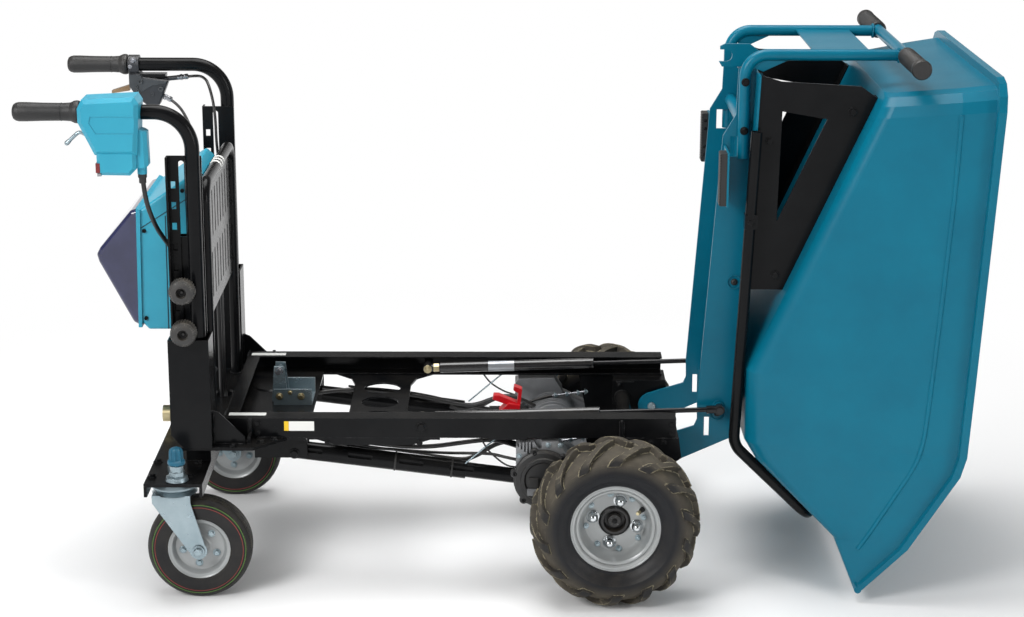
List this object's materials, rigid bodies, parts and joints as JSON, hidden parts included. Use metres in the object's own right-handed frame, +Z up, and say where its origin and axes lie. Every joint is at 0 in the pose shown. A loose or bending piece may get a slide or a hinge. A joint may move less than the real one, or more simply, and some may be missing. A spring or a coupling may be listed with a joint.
{
  "type": "electric wheelbarrow",
  "caption": "Battery-powered wheelbarrow: two-rail chassis on driven wheels and swivel casters, height-adjustable handles, and a front-hinged dump bucket shown tipped.",
  "frame": {"origin": "middle of the overall footprint, on the floor under the tyres", "axes": "+X forward towards the dump end, +Y to the operator's left, +Z up"},
  "size_m": [1.838, 0.766, 1.0664],
  "materials": {
    "black_paint": "glossy black powder coat",
    "teal_paint": "satin teal powder coat",
    "teal_plastic": "semi-gloss teal moulding",
    "navy_cover": "smoked navy moulding",
    "zinc": "zinc plated",
    "cast_alloy": "cast and painted alloy",
    "rim_paint": "light grey paint",
    "tyre": "dusty black rubber",
    "rubber": "ribbed black rubber",
    "black_plastic": "textured black moulding",
    "red_plastic": "red moulding",
    "brass": "plated brass",
    "strut_black": "black enamel",
    "steel": "ground steel"
  },
  "bodies": {
    "chassis": {"rails": "black_paint", "rear_deck": "black_paint", "cross_plate": "black_paint", "front_frame": "black_paint", "post_frame": "black_paint", "caster_beam": "black_paint", "caster_heads": "zinc", "lock_knobs": "teal_plastic", "striker": "zinc", "load_guard": "black_paint", "battery_box": "teal_plastic", "battery_cover": "navy_cover", "clamp_knobs": "black_plastic", "brace_tubes": "black_paint", "drive_units": "cast_alloy", "gear_covers": "black_plastic", "axle_beam": "black_paint", "release_lever": "red_plastic", "hitch_pin": "brass", "hinge_pins": "zinc"},
    "handle_left": {"handle_frame_left": "black_paint", "handle_grip_left": "rubber", "brake_housing": "black_plastic", "brake_lever": "black_plastic", "brake_cable_left": "rubber", "brake_cable_right": "rubber"},
    "handle_right": {"handle_frame_right": "black_paint", "handle_grip_right": "rubber", "control_box": "teal_plastic", "speed_lever": "zinc", "control_cable": "rubber"},
    "bucket": {"bucket_tub": "teal_paint", "subframe": "teal_paint", "support_plates": "black_paint", "dump_handle": "teal_paint", "dump_grips": "rubber", "cradle_tube": "black_paint", "latch": "black_paint", "stop_pads": "rubber"},
    "drive_wheel_left": {"drive_rim_left": "rim_paint", "drive_tyre_left": "tyre"},
    "caster_fork_left": {"caster_fork_left": "zinc"},
    "caster_wheel_left": {"caster_rim_left": "rim_paint", "caster_tyre_left": "tyre"},
    "strut_cylinder_left": {"strut_cylinder_left": "strut_black"},
    "strut_rod_left": {"strut_rod_left": "steel"},
    "drive_wheel_right": {"drive_rim_right": "rim_paint", "drive_tyre_right": "tyre"},
    "caster_fork_right": {"caster_fork_right": "zinc"},
    "caster_wheel_right": {"caster_rim_right": "rim_paint", "caster_tyre_right": "tyre"},
    "strut_cylinder_right": {"strut_cylinder_right": "strut_black"},
    "strut_rod_right": {"strut_rod_right": "steel"}
  },
  "joints": [
    {"name": "bucket_tilt", "type": "hinge", "parent": "chassis", "child": "bucket", "pos_m": [0.309, 0, 0.25], "axis": [0, -1, 0], "range_deg": [0, 90]},
    {"name": "handle_height_left", "type": "slide", "parent": "chassis", "child": "handle_left", "axis": [0, 0, 1], "range_m": [-0.2, 0]},
    {"name": "drive_wheel_spin_left", "type": "hinge", "parent": "chassis", "child": "drive_wheel_left", "pos_m": [0.211, 0.3205, 0.165], "axis": [0, 1, 0], "continuous": true},
    {"name": "caster_swivel_left", "type": "hinge", "parent": "chassis", "child": "caster_fork_left", "pos_m": [-0.643, 0.287, 0.22], "axis": [0, 0, 1], "continuous": true},
    {"name": "caster_spin_left", "type": "hinge", "parent": "caster_fork_left", "child": "caster_wheel_left", "pos_m": [-0.5965, 0.287, 0.102], "axis": [0, 1, 0], "continuous": true},
    {"name": "handle_height_right", "type": "slide", "parent": "chassis", "child": "handle_right", "axis": [0, 0, 1], "range_m": [-0.2, 0]},
    {"name": "drive_wheel_spin_right", "type": "hinge", "parent": "chassis", "child": "drive_wheel_right", "pos_m": [0.211, -0.3205, 0.165], "axis": [0, 1, 0], "continuous": true},
    {"name": "caster_swivel_right", "type": "hinge", "parent": "chassis", "child": "caster_fork_right", "pos_m": [-0.643, -0.287, 0.22], "axis": [0, 0, 1], "continuous": true},
    {"name": "caster_spin_right", "type": "hinge", "parent": "caster_fork_right", "child": "caster_wheel_right", "pos_m": [-0.5965, -0.287, 0.102], "axis": [0, 1, 0], "continuous": true},
    {"name": "strut_pivot_left", "type": "hinge", "parent": "chassis", "child": "strut_cylinder_left", "pos_m": [-0.166, 0.168, 0.325], "axis": [0, -1, 0], "range_deg": [0, 4.58]},
    {"name": "strut_slide_left", "type": "slide", "parent": "strut_cylinder_left", "child": "strut_rod_left", "axis": [0.9995, 0, 0.0305], "range_m": [-0.2073, 0]},
    {"name": "strut_pivot_right", "type": "hinge", "parent": "chassis", "child": "strut_cylinder_right", "pos_m": [-0.166, -0.168, 0.325], "axis": [0, -1, 0], "range_deg": [0, 4.58]},
    {"name": "strut_slide_right", "type": "slide", "parent": "strut_cylinder_right", "child": "strut_rod_right", "axis": [0.9995, 0, 0.0305], "range_m": [-0.2073, 0]}
  ],
  "couplings": [
    {"joint": "strut_pivot_left", "follows": "bucket_tilt", "ratio": 0.0453},
    {"joint": "strut_slide_left", "follows": "bucket_tilt", "m_per_rad": -0.1307},
    {"joint": "strut_pivot_right", "follows": "bucket_tilt", "ratio": 0.0453},
    {"joint": "strut_slide_right", "follows": "bucket_tilt", "m_per_rad": -0.1307}
  ]
}
